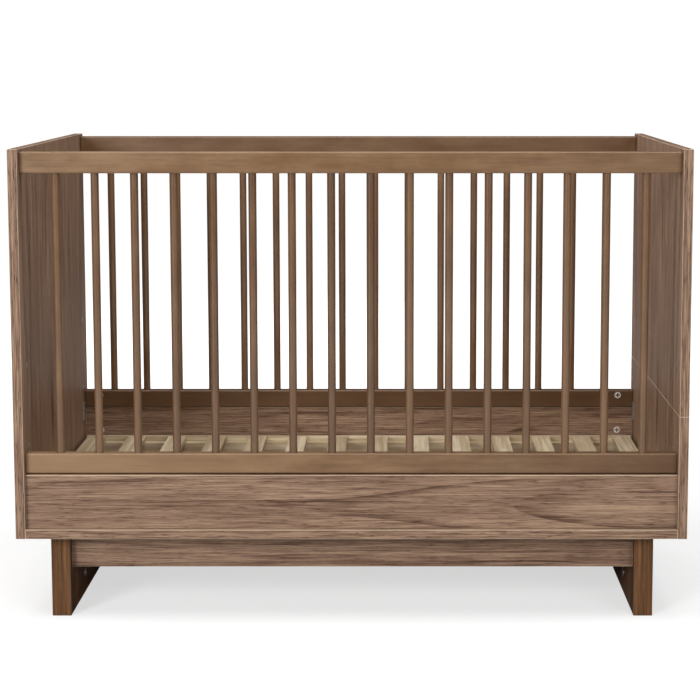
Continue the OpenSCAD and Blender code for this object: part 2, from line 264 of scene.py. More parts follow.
def turned(runs: list[Run], origin: Array, axis: Array, segments: int = 40) -> Surface:
    """A turned solid: a profile of (height along the axis, radius) swept round the axis.

    Each run of the profile is smooth, and its normals are the profile's tangent turned a
    quarter turn; the edge where one run meets the next stays sharp.

    Args:
        runs: Stretches of the profile, from the bottom to the top of the solid.
        origin: The point that heights are measured from.
        axis: Direction of the axis.
        segments: Steps round the axis.

    Returns:
        The closed surface.
    """
    turn = np.linspace(0, 2 * math.pi, segments, endpoint=False)
    basis = axis_frame(axis)
    sheets = []
    for run in runs:
        height, radius = np.array(run, float).T
        rise, spread = np.gradient(height), np.gradient(radius)
        length = np.hypot(rise, spread)
        out, along = rise / length, -spread / length
        ring = np.stack([np.cos(turn), np.sin(turn)], axis=-1) @ basis[:2]
        points = (origin + radius[:, None, None] * ring[None]
                  + height[:, None, None] * basis[2])
        normals = out[:, None, None] * ring[None] + along[:, None, None] * basis[2]
        sheets.append(Surface.grid(points, normals, np.zeros(points.shape[:2]), wrap=True))
    return Surface.join(sheets)


@dataclass(frozen=True)
class CrossHead:
    """Sizes of a round head with a cross recess, and how finely it is drawn.

    recess is the share of the head's radius that the cross reaches.
    """

    chamfer: float
    recess: float
    slot: float
    depth: float
    rings: int = 10
    segments: int = 24


def recessed_head(radius: float, height: float, cross: CrossHead, origin: Array,
                  axis: Array) -> Surface:
    """A round head with a cross recess pressed into its face.

    The face is a disc of rings and spokes. A point is inside the cross when it is nearer than
    half a slot to one of two crossed lines and inside the recess's radius; its depth is the
    product of two smooth steps, one across the slot and one along it. The rim falls away by
    the chamfer, and a plain wall goes down to the back.

    Args:
        radius: Radius of the head.
        height: Height of the head's wall.
        cross: The rest of its sizes.
        origin: Centre of the head's face.
        axis: Outward direction of the face.

    Returns:
        The closed surface.
    """
    basis = axis_frame(axis)
    turn = np.linspace(0, 2 * math.pi, cross.segments, endpoint=False)
    flat = radius - cross.chamfer
    reach = np.linspace(0, flat, cross.rings) + np.zeros((cross.segments, 1))
    x, y = reach * np.cos(turn)[:, None], reach * np.sin(turn)[:, None]
    soft = cross.slot / 4
    from_line = np.minimum(np.abs(x), np.abs(y))
    along_line = np.maximum(np.abs(x), np.abs(y))
    inside = np.clip((cross.slot / 2 - from_line) / soft + 0.5, 0, 1)
    inside *= np.clip((cross.recess * radius - along_line) / soft + 0.5, 0, 1)
    drop = -cross.depth * inside
    face = origin + x[..., None] * basis[0] + y[..., None] * basis[1] + drop[..., None] * basis[2]
    spokes = np.gradient(np.vstack([face[-1:], face, face[:1]]), axis=0)[1:-1]
    outward = np.gradient(face, axis=1)
    normals = np.cross(outward, spokes)
    size = np.linalg.norm(normals, axis=-1, keepdims=True)
    normals = np.where(size > NO_AREA, normals / np.maximum(size, NO_AREA), basis[2])
    normals *= np.sign((normals @ basis[2]) + NUDGE)[..., None]
    disc = Surface.grid(face.transpose(1, 0, 2), normals.transpose(1, 0, 2),
                        np.zeros(reach.T.shape), wrap=True)
    ease = 0.3 * cross.chamfer
    rim = [(-cross.chamfer, radius), (-ease, radius - ease), (0.0, flat)]
    wall = straight((-height, 0.0), (-height, radius), rim[0])
    rest = turned([rim, *wall[::-1]], origin, axis, cross.segments)
    return Surface.join([disc, rest])


def solids_of(node: str) -> list[Box]:
    """The lowest and highest corner of each separate solid in a CAD node.

    Corners that lie in the same place are one vertex, and a vertex takes the least label of
    any triangle that it belongs to, again and again, until nothing changes; vertices with
    the same label are one solid.

    Args:
        node: The CAD node's name.

    Returns:
        The solids' boxes, sorted by their lowest corners.
    """
    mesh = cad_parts[node].data
    mesh.calc_loop_triangles()
    points = np.empty(len(mesh.vertices) * 3)
    mesh.vertices.foreach_get("co", points)
    points = points.reshape(-1, 3)
    triangles = np.empty(len(mesh.loop_triangles) * 3, int)
    mesh.loop_triangles.foreach_get("vertices", triangles)
    _, first, owner = np.unique(np.round(points / SAME_PLACE).astype(np.int64), axis=0,
                                return_index=True, return_inverse=True)
    triangles = owner.reshape(-1)[triangles].reshape(-1, 3)
    labels = np.arange(len(first))
    while True:
        least = np.repeat(labels[triangles].min(axis=1), 3)
        spread = labels.copy()
        np.minimum.at(spread, triangles.ravel(), least)
        if (spread == labels).all():
            break
        labels = spread
    places = points[first]
    boxes = [(places[labels == k].min(axis=0), places[labels == k].max(axis=0))
             for k in np.unique(labels[triangles])]
    return sorted(boxes, key=lambda b: tuple(np.round(b[0], 4)))


def in_scene(name: str, data: bpy.types.ID) -> bpy.types.Object:
    """Makes an object of a mesh, a light or a camera, and links it to the scene.

    Args:
        name: The object's name.
        data: The data.

    Returns:
        The object.
    """
    thing = bpy.data.objects.new(name, data)
    bpy.context.scene.collection.objects.link(thing)
    return thing


def node_box(node: str) -> Box:
    """A CAD node's box at rest.

    Args:
        node: The CAD node's name.

    Returns:
        Its lowest and highest corner.
    """
    low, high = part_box(node)
    return np.array(low), np.array(high)


# ---------------------------------------------------------------- finishes


def linear(code: str) -> tuple[float, float, float, float]:
    """Turns an sRGB colour into linear light.

    Args:
        code: The colour's hex code.

    Returns:
        Red, green, blue and full alpha.
    """
    shades = [int(code[i:i + 2], 16) / 255 for i in (1, 3, 5)]
    return (*(s / 12.92 if s <= 0.04045 else ((s + 0.055) / 1.055) ** 2.4 for s in shades), 1.0)


def add(tree: Tree, kind: str, *values: object, out: "int | str" = 0,
        **settings: object) -> Socket:
    """Adds a node with its settings and links.

    Args:
        tree: The node tree.
        kind: The node's type without its ShaderNode prefix, and any operation after a dot.
        values: What its inputs take, in order: a value, a socket, or None to leave one alone.
        out: The output that is wanted, by number or name.
        settings: The node's own properties.

    Returns:
        That output.
    """
    kind, _, operation = kind.partition(".")
    node = tree.nodes.new("ShaderNode" + kind)
    if operation:
        node.operation = operation
    for name, value in settings.items():
        setattr(node, name, value)
    for socket, value in zip(node.inputs, values):
        if isinstance(value, bpy.types.NodeSocket):
            tree.links.new(value, socket)
        elif value is not None:
            socket.default_value = value
    return node.outputs[out]


def layered(tree: Tree, ground: "str | Socket", *layers: Layer) -> Socket:
    """Colours laid over one another.

    A layer covers what is under it by none where its value is at low or beyond, by its share
    where the value is at high or beyond, and evenly between them.

    Args:
        tree: The node tree.
        ground: The colour under the layers, as a hex code or a socket.
        layers: Value, low, high, share and hex code of each, from the lowest up.

    Returns:
        The colour.
    """
    colour = linear(ground) if isinstance(ground, str) else ground
    for value, low, high, share, code in layers:
        amount = add(tree, "MapRange", value, low, high, 0.0, share)
        colour = add(tree, "MixRGB", amount, colour, linear(code))
    return colour


class Grain(Enum):
    """Which way a board's grain runs, as the axes along it, across its face and through it."""

    LENGTHWISE_UPRIGHT = "XZY"
    LENGTHWISE_FLAT = "XYZ"
    VERTICAL = "ZYX"
    CROSSWISE_FLAT = "YXZ"


def grain_axes(tree: Tree, grain: Grain, start: Point) -> Axes:
    """Object coordinates as three sockets: along the grain, across the face and through it.

    The place through the board is measured from the crib's middle either way, so that facing
    boards are cut from the same print.

    Args:
        tree: The node tree.
        grain: The way the grain runs.
        start: Where in the log the board was cut, in metres.

    Returns:
        The three sockets.
    """
    place = add(tree, "SeparateXYZ", add(tree, "TexCoord", out="Object")).node
    along, across, through = (place.outputs[axis] for axis in grain.value)
    places = (along, across, add(tree, "Math.ABSOLUTE", through))
    return tuple(add(tree, "Math.ADD", at, shift) for at, shift in zip(places, start))


def streaks(tree: Tree, axes: Axes, length: float, width: float, detail: float = 3.0,
            rough: float = 0.55) -> Socket:
    """Noise drawn out along the grain.

    Args:
        tree: The node tree.
        axes: The sockets from grain_axes.
        length: Length of a streak in millimetres.
        width: Width of a streak in millimetres.
        detail: Octaves of the noise.
        rough: Strength of each finer octave.

    Returns:
        A value about 0.5.
    """
    spaced = [add(tree, "Math.MULTIPLY", axis, 1 / (size * MM))
              for axis, size in zip(axes, (length, width, width))]
    vector = add(tree, "CombineXYZ", *spaced)
    return add(tree, "TexNoise", vector, None, 1.0, detail, rough)


def start_material(name: str) -> tuple[bpy.types.Material, Tree, bpy.types.Node]:
    """Starts a material.

    Args:
        name: The material's name.

    Returns:
        The material, its tree and its Principled shader.
    """
    material = bpy.data.materials.new(name)
    material.use_nodes = True
    return material, material.node_tree, material.node_tree.nodes["Principled BSDF"]


@dataclass(frozen=True)
class Finish:
    """What every finish has, with the shader's own defaults.

    relief is the share of the surface's height that shows, and the full height in metres.
    """

    name: str
    slot: str
    _: KW_ONLY
    ior: float = 1.5
    specular: float = 0.5
    metallic: float = 0.0
    coat: float = 0.0
    coat_roughness: float = 0.03
    relief: tuple[float, float] = (0.25, 0.15 * MM)

    def pattern(self, tree: Tree) -> Pattern:
        """Gives the colour, the roughness and the height of the surface."""
        raise NotImplementedError

    def material(self) -> bpy.types.Material:
        """Builds the material.

        Returns:
            The material.
        """
        material, tree, shader = start_material(self.name)
        colour, roughness, height = self.pattern(tree)
        bump = add(tree, "Bump", *self.relief, None, height)
        for socket, source in (("Base Color", colour), ("Roughness", roughness),
                               ("Normal", bump)):
            tree.links.new(source, shader.inputs[socket])
        for socket, value in (("IOR", self.ior), ("Specular IOR Level", self.specular),
                              ("Metallic", self.metallic), ("Coat Weight", self.coat),
                              ("Coat Roughness", self.coat_roughness)):
            shader.inputs[socket].default_value = value
        return material


@dataclass(frozen=True)
class WalnutLaminate(Finish):
    """Melamine-faced board with a printed and pressed walnut grain.

    The eye sees purple-grey and tan streaks, a few long dark lines where the print shows growth
    rings cut at a slant, many short dark pores, and a satin face with no depth. The eased edges
    of the banding are painted as a thin pale line: partly a worn, trimmed edge and partly a
    painted highlight where the edge catches the light.
    """

    grain: Grain
    _: KW_ONLY
    ior: float = 1.46
    specular: float = 0.3
    light: str = "#b09377"
    ground: str = "#917460"
    shade: str = "#765a48"
    line: str = "#4a3325"
    # pale colour laid on eased edges: partly edge wear, partly a painted highlight
    arris_highlight: str = "#e3d0b4"
    arris_highlight_share: float = 0.8
    start: Point = (0.0, 0.0, 0.0)
    ring_mm: float = 19.0
    pith_depth: float = 0.06
    broad: float = 0.36
    streak: float = 0.5
    fibre: float = 0.72
    late: float = 0.22
    pore: float = 0.16

    def figure(self, tree: Tree) -> tuple[Socket, Socket]:
        """The print's lightness, about 0.5, and its fine fibres.

        The distance from a wandering pith line gives the rings: the square root of the
        squares of the place across the face and of a depth that rises and falls slowly along
        the grain. A saw wave of that distance is the ring, dark at its late edge, and it
        fades out where a broad noise says so.

        Args:
            tree: The node tree.

        Returns:
            The lightness and the fibres.
        """
        axes = grain_axes(tree, self.grain, self.start)
        wander = add(tree, "Math.SUBTRACT", streaks(tree, axes, 900, 300, 1), 0.5)
        slope = add(tree, "Math.SUBTRACT", streaks(tree, axes, 1100, 2000, 0), 0.5)
        across = add(tree, "Math.MULTIPLY_ADD", wander, 0.05, axes[1])
        depth = add(tree, "Math.MULTIPLY_ADD", slope, 0.22, axes[2])
        depth = add(tree, "Math.ADD", depth, self.pith_depth)
        squares = add(tree, "Math.MULTIPLY_ADD", across, across,
                      add(tree, "Math.MULTIPLY", depth, depth))
        rings = add(tree, "Math.MULTIPLY", add(tree, "Math.SQRT", squares), 1000 / self.ring_mm)
        dark_edge = add(tree, "MapRange", add(tree, "Math.FRACT", rings), 0.76, 0.98)
        shown = add(tree, "MapRange", streaks(tree, axes, 380, 30, 2), 0.44, 0.60)
        late = add(tree, "Math.MULTIPLY", dark_edge, shown)
        # the print's fibres and pores are finer than this, and would not show at all
        fibre = streaks(tree, axes, 70, 2.3, 3, 0.7)
        pore = add(tree, "MapRange", streaks(tree, axes, 24, 2.2, 1), 0.62, 0.72)
        value = 0.5
        for part, share in ((streaks(tree, axes, 330, 26, 2), self.broad),
                            (streaks(tree, axes, 170, 4.5, 3, 0.55), self.streak),
                            (fibre, self.fibre)):
            offset = add(tree, "Math.SUBTRACT", part, 0.5)
            value = add(tree, "Math.MULTIPLY_ADD", offset, share, value)
        for part, share in ((late, -self.late), (pore, -self.pore)):
            value = add(tree, "Math.MULTIPLY_ADD", part, share, value)
        return value, fibre

    def pattern(self, tree: Tree) -> Pattern:
        """The figure's lightness through four tones, and pale edges: partly edge wear, partly
        painted highlight.

        Args:
            tree: The node tree.

        Returns:
            The colour, the roughness and the height.
        """
        value, fibre = self.figure(tree)
        ramp = add(tree, "ValToRGB", value)
        stops = ramp.node.color_ramp.elements
        for place, tone in ((0.22, self.line), (0.40, self.shade), (0.52, self.ground),
                            (0.70, self.light)):
            stops.new(place).color = linear(tone)
        stops.remove(stops[0])
        stops.remove(stops[-1])
        # pale eased edges: partly a painted highlight, partly edge wear
        wear_and_highlight = add(tree, "Attribute", out="Fac", attribute_name="edge_wear_and_highlight")
        colour = layered(tree, ramp, (wear_and_highlight, 0.0, 1.0, self.arris_highlight_share, self.arris_highlight))
        return colour, add(tree, "Math.MULTIPLY_ADD", fibre, 0.18, 0.42), value


@dataclass(frozen=True)
class StainedBeech(Finish):
    """Solid beech under a brown stain and a satin clear lacquer.

    Stain sinks unevenly into solid beech, so the eye sees soft cloudy patches, a few faint
    darker growth lines and the small flecks of the rays, under an even silky sheen.
    """

    grain: Grain
    _: KW_ONLY
    coat: float = 0.2
    coat_roughness: float = 0.22
    relief: tuple[float, float] = (0.12, 0.08 * MM)
    ground: str = "#775637"
    light: str = "#9d7d5c"
    shade: str = "#4f331d"
    start: Point = (0.0, 0.0, 0.0)
    line_mm: float = 9.0

    def pattern(self, tree: Tree) -> Pattern:
        """Clouds, growth lines, flecks and fibres, shifted by the mesh's tone, with eased edges
        made paler: partly edge wear, partly painted highlight.

        Args:
            tree: The node tree.

        Returns:
            The colour, the roughness and the height.
        """
        axes = grain_axes(tree, self.grain, self.start)
        cloud = streaks(tree, axes, 90, 38, 3)
        growth = streaks(tree, axes, 240, self.line_mm, 3)
        fleck = add(tree, "MapRange", streaks(tree, axes, 9, 2.2, 1), 0.62, 0.75)
        fibre = streaks(tree, axes, 40, 2.6, 3)
        tone = add(tree, "Attribute", out="Fac", attribute_name="tone")
        # eased edges made paler: partly edge wear, partly a painted highlight
        wear_and_highlight = add(tree, "Attribute", out="Fac", attribute_name="edge_wear_and_highlight")
        colour = layered(tree, self.ground,
                         (cloud, 0.26, 0.76, 0.8, self.light),
                         (growth, 0.50, 0.78, 0.42, self.shade),
                         (fleck, 0.0, 1.0, 0.16, self.shade),
                         (fibre, 0.46, 0.70, 0.22, self.shade),
                         # tone: random on most pieces; on the back rails it is painted shade
                         (tone, 0.0, 1.0, 0.8, self.light),
                         (tone, 0.0, -1.0, 0.8, self.shade),
                         (wear_and_highlight, 0.0, 1.0, 0.22, self.light))
        return (colour, add(tree, "Math.MULTIPLY_ADD", cloud, 0.14, 0.30),
                add(tree, "Math.SUBTRACT", fibre, fleck))


@dataclass(frozen=True)
class PaleSlatWood(Finish):
    """Planed poplar, left unfinished.

    The eye sees a dry greyish cream with soft grey-brown streaks along the slat, a different
    tone from one slat to the next, and almost no gloss.
    """

    grain: Grain
    _: KW_ONLY
    ior: float = 1.45
    ground: str = "#cab694"
    light: str = "#e5d4b5"
    shade: str = "#937b5b"
    start: Point = (0.0, 0.0, 0.0)

    def pattern(self, tree: Tree) -> Pattern:
        """Streaks, fibres and small knots, shifted by each slat's tone.

        Args:
            tree: The node tree.

        Returns:
            The colour, the roughness and the height.
        """
        axes = grain_axes(tree, self.grain, self.start)
        broad = streaks(tree, axes, 220, 12, 3)
        fine = streaks(tree, axes, 60, 2.4, 3)
        knot = streaks(tree, axes, 90, 18, 2)
        tone = add(tree, "Attribute", out="Fac", attribute_name="tone")
        colour = layered(tree, self.ground,
                         (broad, 0.35, 0.65, 1.0, self.light),
                         (broad, 0.60, 0.45, 0.32, self.shade),
                         (fine, 0.0, 1.0, 0.28, self.shade),
                         (knot, 0.66, 0.80, 0.5, self.shade),
                         (tone, 0.0, 1.0, 0.7, self.light),
                         (tone, 0.0, -1.0, 0.7, self.shade))
        return colour, add(tree, "Math.MULTIPLY_ADD", fine, 0.12, 0.62), fine


@dataclass(frozen=True)
class Metal(Finish):
    """A bare or plated metal.

    The eye sees a cool grey that takes its light from the room, faintly clouded by handling
    and brushed or cast at the grain size given.
    """

    colour: str
    soil: str
    roughness: float
    grain_mm: float
    _: KW_ONLY
    metallic: float = 1.0
    relief: tuple[float, float] = (0.2, 0.05 * MM)
    clouds_a_metre: float = 180.0

    def pattern(self, tree: Tree) -> Pattern:
        """A clouded metal with a fine grit.

        Args:
            tree: The node tree.

        Returns:
            The colour, the roughness and the height.
        """
        place = add(tree, "TexCoord", out="Object")
        cloud = add(tree, "TexNoise", place, None, self.clouds_a_metre, 3.0)
        grit = add(tree, "TexNoise", place, None, 1000 / self.grain_mm, 2.0)
        colour = layered(tree, self.colour, (cloud, 0.45, 0.8, 1.0, self.soil))
        return colour, add(tree, "Math.MULTIPLY_ADD", cloud, 0.2, self.roughness - 0.1), grit


WALNUT_ENDS = WalnutLaminate(
    "walnut_laminate_ends", "walnut_laminate", Grain.VERTICAL, start=(0.3, 0.06, -0.61),
    ring_mm=16, streak=0.45, fibre=0.6)
WALNUT_PANELS = WalnutLaminate(
    "walnut_laminate_panels", "walnut_laminate", Grain.LENGTHWISE_UPRIGHT,
    start=(0.1, -0.215, -0.32))
WALNUT_FLAT = WalnutLaminate(
    "walnut_laminate_bottom", "walnut_laminate", Grain.LENGTHWISE_FLAT,
    start=(0.7, 0.05, -0.15))
BAND_UPRIGHT = WalnutLaminate(
    "walnut_banding_upright", "walnut_laminate", Grain.VERTICAL, start=(0.2, 0.02, 0.7),
    broad=0.1, streak=0.3, late=0.0, fibre=1.0, pore=0.24)
BAND_CROSS = replace(BAND_UPRIGHT, name="walnut_banding_cross", grain=Grain.CROSSWISE_FLAT)
BAND_LONG = replace(BAND_UPRIGHT, name="walnut_banding_long", grain=Grain.LENGTHWISE_UPRIGHT)
# the legs' pale edges are a weaker painted highlight over a little edge wear
DARK_WALNUT = WalnutLaminate(
    "walnut_laminate_legs", "dark_walnut_laminate", Grain.VERTICAL, start=(0.2, 0.03, -0.53),
    light="#80593a", ground="#654325", shade="#4c3018", line="#2e1b0c", arris_highlight="#b49a7a",
    arris_highlight_share=0.3, ring_mm=9, broad=0.5, fibre=0.5, pore=0.1)
BEECH_RAILS = StainedBeech("stained_beech_rails", "stained_solid_wood", Grain.LENGTHWISE_UPRIGHT)
BEECH_SPINDLES = StainedBeech(
    "stained_beech_spindles", "stained_solid_wood", Grain.VERTICAL, ground="#67472c",
    light="#866545", shade="#402715", line_mm=4.0, coat=1.0, coat_roughness=0.12)
SLAT_WOOD = PaleSlatWood("planed_poplar_slats", "pale_slat_wood", Grain.CROSSWISE_FLAT)
BASE_RAIL_WOOD = PaleSlatWood("planed_poplar_rails", "pale_slat_wood", Grain.LENGTHWISE_UPRIGHT)
DOWEL_BEECH = PaleSlatWood(
    "beech_dowels", "beech_dowel", Grain.LENGTHWISE_UPRIGHT, ground="#cfb189",
    light="#dfc7a3", shade="#a98a61")
CAST_ZINC = Metal(
    "nickel_plated_zinc", "cast_zinc", "#f6f6f4", "#dddbd6", 0.5, 0.8, metallic=0.6)
PLATED_STEEL = Metal("zinc_plated_steel", "plated_steel", "#d5d6d6", "#a19f99", 0.38, 0.5)


# ---------------------------------------------------------------- the crib


class Workshop:
    """Makes each finish once, and turns surfaces into pieces that ride on the frame."""

    def __init__(self) -> None:
        """Starts with no finishes made."""
        self.made: dict[str, bpy.types.Material] = {}
        self.pieces: list[bpy.types.Object] = []

    def material(self, finish: Finish) -> bpy.types.Material:
        """The finish's material, built on first use.

        Args:
            finish: The finish.

        Returns:
            Its material.
        """
        if finish.name not in self.made:
            self.made[finish.name] = finish.material()
        return self.made[finish.name]

    def place(self, name: str, surface: Surface, finish: Finish, body: str,
              nodes: list[str], cutters: "Surface | None" = None,
              banding: "dict[int, Finish] | None" = None) -> None:
        """Makes a piece that stands for CAD nodes.

        Args:
            name: The piece's name.
            surface: Its shape, in the frame's own coordinates.
            finish: Its finish.
            body: The CAD body that it moves with.
            nodes: The CAD nodes that it replaces.
            cutters: Closed shapes to cut out of it.
            banding: Finishes for the faces that look along an axis, by the axis's number.
        """
        piece = in_scene(name, surface.to_mesh(name, keep_normals=cutters is None))
        if cutters is not None:
            carve(piece, cutters)
        piece.data.materials.clear()
        piece.data.materials.append(self.material(finish))
        if banding is not None:
            facing = np.empty(len(piece.data.polygons) * 3, np.float32)
            piece.data.polygons.foreach_get("normal", facing)
            chosen = np.zeros(len(piece.data.polygons), np.int32)
            for number, (axis, strip) in enumerate(banding.items(), 1):
                piece.data.materials.append(self.material(strip))
                chosen[np.abs(facing[axis::3]) > SQUARE_ON] = number
            piece.data.polygons.foreach_set("material_index", chosen)
        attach(piece, body)
        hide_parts(*nodes)
        self.pieces.append(piece)

    def dress(self, node: str, finish: Finish) -> None:
        """Gives a CAD node that keeps its own shape its finish.

        Args:
            node: The node's name.
            finish: The finish.
        """
        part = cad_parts[node]
        part.data.materials.clear()
        part.data.materials.append(self.material(finish))


def carve(piece: bpy.types.Object, cutters: Surface) -> None:
    """Cuts closed shapes out of a piece with an exact Boolean and applies the result.

    The flat faces then get their normals from their area, and edges over 40 degrees stay
    sharp, so that the bores' mouths are crisp and the eased edges smooth.

    Args:
        piece: The piece to cut.
        cutters: The shapes to remove.
    """
    tool = in_scene("cutter", cutters.to_mesh("cutter", keep_normals=False))
    cut = piece.modifiers.new("bores", "BOOLEAN")
    cut.operation, cut.solver, cut.object = "DIFFERENCE", "EXACT", tool
    graph = bpy.context.evaluated_depsgraph_get()
    result = bpy.data.meshes.new_from_object(piece.evaluated_get(graph))
    piece.modifiers.clear()
    blank, piece.data = piece.data, result
    bpy.data.objects.remove(tool)
    bpy.data.meshes.remove(blank)
    result.name = piece.name
    result.shade_smooth()
    result.set_sharp_from_angle(angle=SHARP_EDGE)
    flat = piece.modifiers.new("flat_faces", "WEIGHTED_NORMAL")
    flat.keep_sharp = True


def bore(low: Array, high: Array, grow: float, axis: int) -> Surface:
    """A cylinder round a solid's box along one axis, larger in radius by grow.

    Args:
        low: Lowest corner of the solid.
        high: Highest corner of the solid.
        grow: How much larger the radius is.
        axis: 0, 1 or 2 for the axis X, Y or Z.

    Returns:
        The closed cylinder, overshooting the box by grow at both ends.
    """
    centre, half = (low + high) / 2, (high - low) / 2
    radius = half[(axis + 1) % 3] + grow
    reach = half[axis] + grow
    direction = np.eye(3)[axis]
    runs = straight((-reach, 0.0), (-reach, radius), (reach, radius), (reach, 0.0))
    return turned(runs, centre, direction, segments=32)


@dataclass
class Carcass:
    """The two ends, the divided one on the right, the bottom board and the lower panels."""

    shop: Workshop
    ease: float = 0.9 * MM
    panel_ease: float = 1.4 * MM
    insert_grow: float = 0.1 * MM

    def build(self) -> None:
        """Builds the boards, with the insert bores cut into the ends."""
        inserts = solids_of("threaded_inserts")
        for node in ("end_panel_left", "end_panel_right_lower", "end_panel_right_upper"):
            low, high = node_box(node)
            own = [bore(a, b, self.insert_grow, 0) for a, b in inserts
                   if (a > low - MM).all() and (b < high + MM).all()]
            self.shop.place(node + "_board", eased_box(low, high, self.ease), WALNUT_ENDS,
                            ROOT_BODY, [node], Surface.join(own) if own else None,
                            {1: BAND_UPRIGHT, 2: BAND_CROSS})
        low, high = node_box("bottom_board")
        self.shop.place("bottom_board_sheet", eased_box(low, high, self.panel_ease), WALNUT_FLAT,
                        ROOT_BODY, ["bottom_board"], banding={1: BAND_LONG})
        for side in SIDES:
            low, high = node_box(side + "_lower_panel")
            self.shop.place(side + "_lower_panel_board", eased_box(low, high, self.panel_ease),
                            WALNUT_PANELS, ROOT_BODY, [side + "_lower_panel"])
        log.info("carcass: %d insert bores cut into the ends", len(inserts))


@dataclass
class SpindleSide:
    """The front or the back: two solid rails and the spindles let into them."""

    shop: Workshop
    side: str
    ease: float = 3.4 * MM
    # tones at the rails' left and right ends; on the back side they are painted shade
    top_tone_and_shade: tuple[float, float] = (0.1, -0.3)
    bottom_tone_and_shade: tuple[float, float] = (0.85, -0.8)
    end_ease: float = 0.8 * MM
    arc_steps: int = 6

    def build(self) -> None:
        """Builds the rails and the spindles; a rail's tone drifts along its length, darker
        towards the right end on the front rails, and on the back rails it is a painted shade that
        darkens them.
        """
        for rail, (left, right) in (("top_rail", self.top_tone_and_shade),
                                    ("bottom_rail", self.bottom_tone_and_shade)):
            node = f"{self.side}_{rail}"
            low, high = node_box(node)
            shape = eased_box(low, high, self.ease, self.arc_steps)
            share = (shape.points[:, 0] - low[0]) / (high[0] - low[0])
            drift = left + (right - left) * share
            self.shop.place(node + "_bar", shape.toned(drift), BEECH_RAILS, ROOT_BODY, [node])
        spindles = sorted(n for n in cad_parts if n.startswith(self.side + "_spindle_"))
        tones = np.random.default_rng(len(self.side)).uniform(-0.35, 0.35, len(spindles))
        for node, tone in zip(spindles, tones):
            self.shop.place(node + "_rod", self.rod(node).toned(tone), BEECH_SPINDLES,
                            ROOT_BODY, [node])
        log.info("%s side: rails and %d spindles", self.side, len(spindles))

    def rod(self, node: str) -> Surface:
        """A spindle: a straight cylinder with eased ends, as it leaves the dowel lathe.

        Args:
            node: The CAD node that it stands for.

        Returns:
            The closed surface.
        """
        low, high = node_box(node)
        radius, length = (high[0] - low[0]) / 2, high[2] - low[2]
        foot = np.array([(low[0] + high[0]) / 2, (low[1] + high[1]) / 2, low[2]])
        e = self.end_ease
        runs = straight((0.0, 0.0), (0.0, radius - e), (e, radius), (length - e, radius),
                        (length, radius - e), (length, 0.0))
        return turned(runs, foot, UP)


@dataclass
class Plinth:
    """Two slab legs of two boards each, and the aprons between them."""

    shop: Workshop
    ease: float = 0.7 * MM

    def build(self) -> None:
        """Builds the leg boards and the aprons."""
        for end in ("left", "right"):
            for layer in ("inner", "outer"):
                node = f"leg_{end}_{layer}"
                self.shop.place(node + "_board", eased_box(*node_box(node), self.ease),
                                DARK_WALNUT, ROOT_BODY, [node])
        for side in SIDES:
            node = side + "_apron"
            self.shop.place(node + "_board", eased_box(*node_box(node), self.ease),
                            WALNUT_PANELS, ROOT_BODY, [node])
        log.info("plinth: legs and aprons")


@dataclass
class MattressBase:
    """Two rebated rails and the slats screwed to their ledges, moving as one body."""

    shop: Workshop
    ease: float = 1.6 * MM
    rail_ease: float = 1.8 * MM
    ledge_ease: float = 0.4 * MM
    ledge_width: float = 20 * MM
    slat_gap: float = 0.3 * MM
    overshoot: float = 2 * MM
    head_to_bore: float = 1.7 * MM
    bore_reach: float = 20 * MM
    pocket_ease: float = 0.5 * MM
    pocket_half: float = 8 * MM
    pocket_gap: float = 2.5 * MM
    pocket_reach: float = 21.5 * MM
    tones: tuple[float, float] = (-0.45, 0.5)
    seed: int = 11

    def build(self) -> None:
        """Builds the rails, with their ledges and bolt pockets cut, and the slats."""
        slats = solids_of("slats")
        tones = np.random.default_rng(self.seed).uniform(*self.tones, len(slats))
        boards = [eased_box(low, high, self.ease).toned(tone)
                  for (low, high), tone in zip(slats, tones)]
        self.shop.place("slat_set", Surface.join(boards), SLAT_WOOD, BASE_BODY, ["slats"])
        bolts = solids_of("base_bolts")
        for side in SIDES:
            self.rail(side, slats, bolts)
        log.info("mattress base: %d slats on two rails", len(slats))

    def rail(self, side: str, slats: list[Box], bolts: list[Box]) -> None:
        """Builds one rail.

        Args:
            side: Front or back.
            slats: The slats' boxes, which set the ledge.
            bolts: The base bolts' boxes, which set the bores and pockets.
        """
        node = f"base_{side}_rail"
        low, high = node_box(node)
        sign = -1 if side == "front" else 1
        ledge_low, ledge_high = low - self.overshoot, high + self.overshoot
        ledge_low[2] = slats[0][0][2]
        slat_end = self.slat_gap + max(abs(slats[0][0][1]), abs(slats[0][1][1]))
        ledge_low[1], ledge_high[1] = sorted((sign * slat_end,
                                              sign * (slat_end - self.ledge_width)))
        cuts = [eased_box(ledge_low, ledge_high, self.ledge_ease, 1)]
        for a, b in bolts:
            if (a[1] + b[1]) * sign > 0:
                cuts += self.bolt_room(a, b, low[2] - self.overshoot)
        self.shop.place(node + "_bar", eased_box(low, high, self.rail_ease), BASE_RAIL_WOOD,
                        BASE_BODY, [node], Surface.join(cuts))

    def bolt_room(self, low: Array, high: Array, floor: float) -> list[Surface]:
        """What a base bolt takes out of its rail: its bore, and a pocket open below its head.

        Args:
            low: The bolt's lowest corner.
            high: The bolt's highest corner.
            floor: How low the pocket goes.

        Returns:
            The bore and the pocket as closed shapes.
        """
        outward = 1 if low[0] > 0 else -1
        reach = np.array([self.bore_reach, 0, 0])
        narrow = np.array([0, self.head_to_bore, self.head_to_bore])
        head = (low if outward > 0 else high)[0]
        ends = sorted((head - outward * self.pocket_gap, head + outward * self.pocket_reach))
        middle = (low + high) / 2
        pocket_low = np.array([ends[0], middle[1] - self.pocket_half, floor])
        pocket_high = np.array([ends[1], middle[1] + self.pocket_half,
                                middle[2] + self.pocket_half])
        return [bore(low - reach * (outward < 0) + narrow, high + reach * (outward > 0) - narrow,
                     0.0, 0),
                eased_box(pocket_low, pocket_high, self.pocket_ease, 1)]


